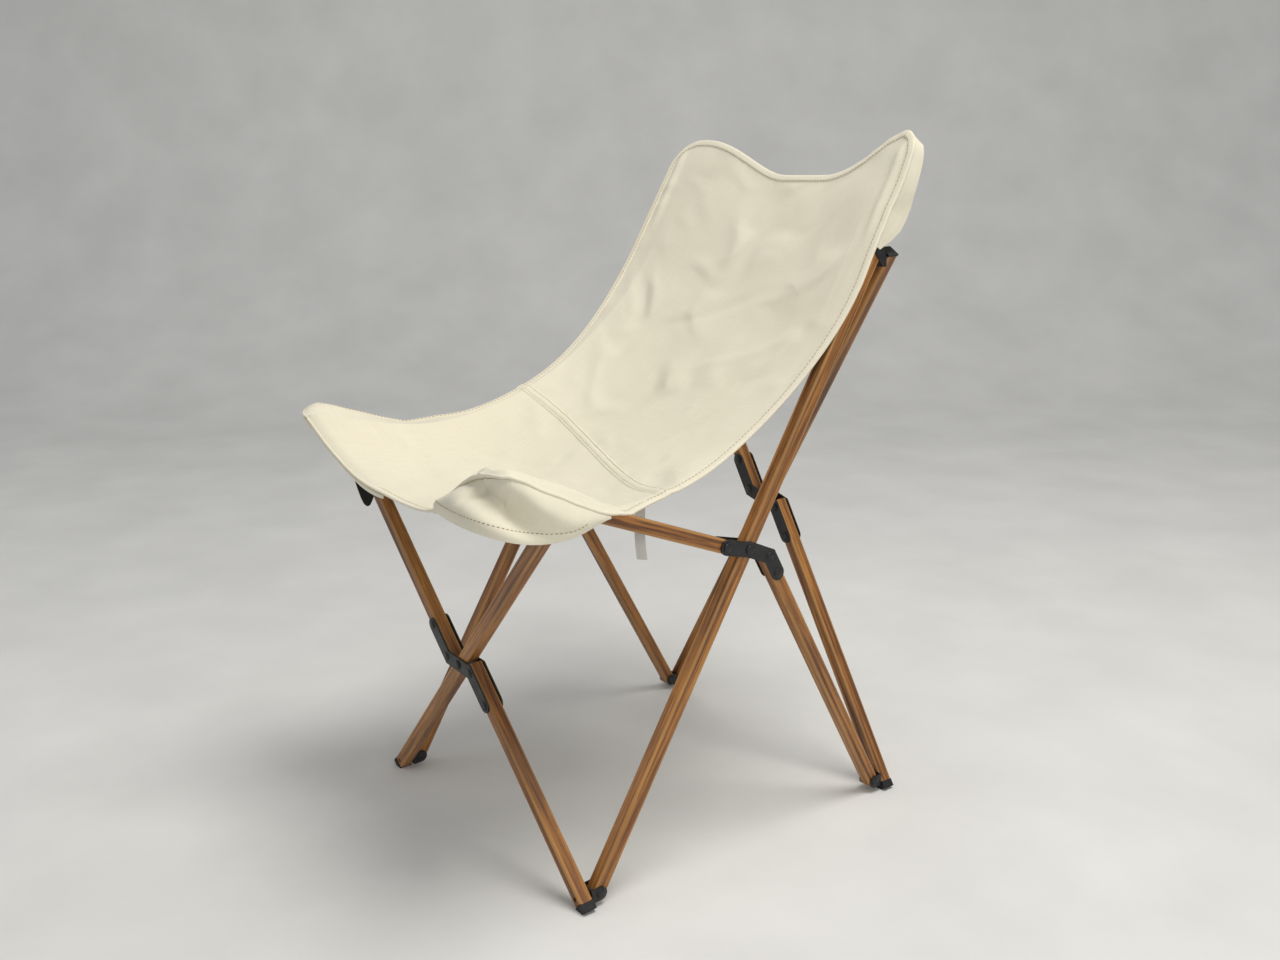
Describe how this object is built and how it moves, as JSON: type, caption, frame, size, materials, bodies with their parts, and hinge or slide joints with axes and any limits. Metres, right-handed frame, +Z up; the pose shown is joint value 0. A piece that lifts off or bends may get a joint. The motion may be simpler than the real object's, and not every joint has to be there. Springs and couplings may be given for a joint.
{
  "type": "folding sling chair",
  "caption": "Folding butterfly lounge chair: canvas sling hung by corner pockets on the tips of a ring of wooden scissor bars with steel brackets.",
  "frame": {"origin": "on the floor, under the middle of the overall box", "axes": "+Z up, the sitter faces -Y, the sitter's left is +X"},
  "size_m": [0.5158, 0.6848, 0.9055],
  "materials": {
    "wood": "stained and oiled, satin",
    "steel": "black powder coat",
    "rubber": "moulded, matte",
    "canvas": "plain weave cotton canvas",
    "tape": "narrow woven tape"
  },
  "bodies": {
    "front_foot_left": {"bracket_front_foot_left": "steel"},
    "front_split": {"front_split_lower": "wood", "front_split_upper": "wood", "front_plate_outer": "steel", "front_plate_inner": "steel", "front_pivot": "steel", "foot_cap_front_left": "rubber"},
    "front_solid": {"front_solid_bar": "wood", "foot_cap_front_right": "rubber"},
    "front_top_left": {"bracket_front_top_left": "steel"},
    "front_top_right": {"bracket_front_top_right": "steel"},
    "front_foot_right": {"bracket_front_foot_right": "steel"},
    "long_left": {"long_bar_left": "wood", "side_pivot_left": "steel", "sling_back": "canvas", "pocket_back_left": "canvas"},
    "long_right": {"long_bar_right": "wood", "side_pivot_right": "steel", "pocket_back_right": "canvas"},
    "leg_left": {"rear_leg_left": "wood", "side_plate_outer_left": "steel", "side_plate_inner_left": "steel", "rail_rivet_left": "steel"},
    "leg_right": {"rear_leg_right": "wood", "side_plate_outer_right": "steel", "side_plate_inner_right": "steel", "rail_rivet_right": "steel"},
    "rail_left": {"seat_rail_left": "wood", "rail_pin_left": "steel", "sling_seat": "canvas", "pocket_front_left": "canvas", "blank_tag": "tape"},
    "rail_right": {"seat_rail_right": "wood", "rail_pin_right": "steel", "pocket_front_right": "canvas"},
    "back_top_left": {"bracket_back_top_left": "steel"},
    "back_top_right": {"bracket_back_top_right": "steel"},
    "back_foot_left": {"bracket_back_foot_left": "steel"},
    "back_foot_right": {"bracket_back_foot_right": "steel"},
    "back_split": {"back_split_lower": "wood", "back_split_upper": "wood", "back_plate_outer": "steel", "back_plate_inner": "steel", "back_pivot": "steel", "foot_cap_back_left": "rubber", "end_cap_back_right": "rubber"},
    "back_solid": {"back_solid_bar": "wood", "foot_cap_back_right": "rubber", "end_cap_back_left": "rubber"}
  },
  "joints": [
    {"name": "fold", "type": "hinge", "parent": "front_foot_left", "child": "front_split", "pos_m": [0.236, -0.21927, 0.01445], "axis": [0, 0.9975, 0.0703], "range_deg": [0, 32.31], "deforming": ["sling_seat", "sling_back", "pocket_front_left", "pocket_front_right", "pocket_back_left", "pocket_back_right"]},
    {"name": "front_cross", "type": "hinge", "parent": "front_split", "child": "front_solid", "pos_m": [0, -0.23565, 0.24668], "axis": [0, 0.9975, 0.0703], "range_deg": [-66, 0]},
    {"name": "front_top_left_turn", "type": "hinge", "parent": "front_solid", "child": "front_top_left", "pos_m": [0.236, -0.25202, 0.4789], "axis": [0, 0.9975, 0.0703], "range_deg": [0, 34]},
    {"name": "front_foot_right_turn", "type": "hinge", "parent": "front_solid", "child": "front_foot_right", "pos_m": [-0.236, -0.21927, 0.01445], "axis": [0, 0.9975, 0.0703], "range_deg": [0, 34]},
    {"name": "front_top_right_turn", "type": "hinge", "parent": "front_split", "child": "front_top_right", "pos_m": [-0.236, -0.25202, 0.4789], "axis": [0, 0.9975, 0.0703], "range_deg": [-34, 0]},
    {"name": "long_left_lean", "type": "hinge", "parent": "front_foot_left", "child": "long_left", "pos_m": [0.236, -0.19733, 0.016], "axis": [1, 0, 0], "range_deg": [0, 17]},
    {"name": "leg_left_swing", "type": "hinge", "parent": "long_left", "child": "leg_left", "pos_m": [0.236, 0.03684, 0.40611], "axis": [1, 0, 0], "range_deg": [-59, 0]},
    {"name": "rail_left_swing", "type": "hinge", "parent": "leg_left", "child": "rail_left", "pos_m": [0.236, 0.00084, 0.41511], "axis": [1, 0, 0], "range_deg": [0, 11]},
    {"name": "back_top_left_tilt", "type": "hinge", "parent": "long_left", "child": "back_top_left", "pos_m": [0.236, 0.25167, 0.764], "axis": [1, 0, 0], "range_deg": [-32, 0]},
    {"name": "back_foot_left_tilt", "type": "hinge", "parent": "leg_left", "child": "back_foot_left", "pos_m": [0.236, 0.27567, 0.016], "axis": [1, 0, 0], "range_deg": [0, 29]},
    {"name": "long_right_lean", "type": "hinge", "parent": "front_foot_right", "child": "long_right", "pos_m": [-0.236, -0.19733, 0.016], "axis": [1, 0, 0], "range_deg": [0, 17]},
    {"name": "leg_right_swing", "type": "hinge", "parent": "long_right", "child": "leg_right", "pos_m": [-0.236, 0.03684, 0.40611], "axis": [1, 0, 0], "range_deg": [-59, 0]},
    {"name": "rail_right_swing", "type": "hinge", "parent": "leg_right", "child": "rail_right", "pos_m": [-0.236, 0.00084, 0.41511], "axis": [1, 0, 0], "range_deg": [0, 11]},
    {"name": "back_top_right_tilt", "type": "hinge", "parent": "long_right", "child": "back_top_right", "pos_m": [-0.236, 0.25167, 0.764], "axis": [1, 0, 0], "range_deg": [-32, 0]},
    {"name": "back_foot_right_tilt", "type": "hinge", "parent": "leg_right", "child": "back_foot_right", "pos_m": [-0.236, 0.27567, 0.016], "axis": [1, 0, 0], "range_deg": [0, 29]},
    {"name": "back_split_turn", "type": "hinge", "parent": "back_foot_left", "child": "back_split", "pos_m": [0.236, 0.29766, 0.01671], "axis": [0, 0.9995, 0.0321], "range_deg": [0, 24]},
    {"name": "back_cross", "type": "hinge", "parent": "back_split", "child": "back_solid", "pos_m": [0, 0.28589, 0.38371], "axis": [0, 0.9995, 0.0321], "range_deg": [-47, 0]}
  ],
  "couplings": [
    {"joint": "front_cross", "follows": "fold", "ratio": -2},
    {"joint": "front_top_left_turn", "follows": "fold", "ratio": 1},
    {"joint": "front_foot_right_turn", "follows": "fold", "ratio": 1},
    {"joint": "front_top_right_turn", "follows": "fold", "ratio": -1},
    {"joint": "long_left_lean", "follows": "fold", "ratio": 0.47693},
    {"joint": "leg_left_swing", "follows": "fold", "ratio": -1.7785},
    {"joint": "rail_left_swing", "follows": "fold", "ratio": 0.30783},
    {"joint": "back_top_left_tilt", "follows": "fold", "ratio": -0.93485},
    {"joint": "back_foot_left_tilt", "follows": "fold", "ratio": 0.84363},
    {"joint": "long_right_lean", "follows": "fold", "ratio": 0.47693},
    {"joint": "leg_right_swing", "follows": "fold", "ratio": -1.7785},
    {"joint": "rail_right_swing", "follows": "fold", "ratio": 0.30783},
    {"joint": "back_top_right_tilt", "follows": "fold", "ratio": -0.93485},
    {"joint": "back_foot_right_tilt", "follows": "fold", "ratio": 0.84363},
    {"joint": "back_split_turn", "follows": "fold", "ratio": 0.70666},
    {"joint": "back_cross", "follows": "fold", "ratio": -1.4133}
  ]
}
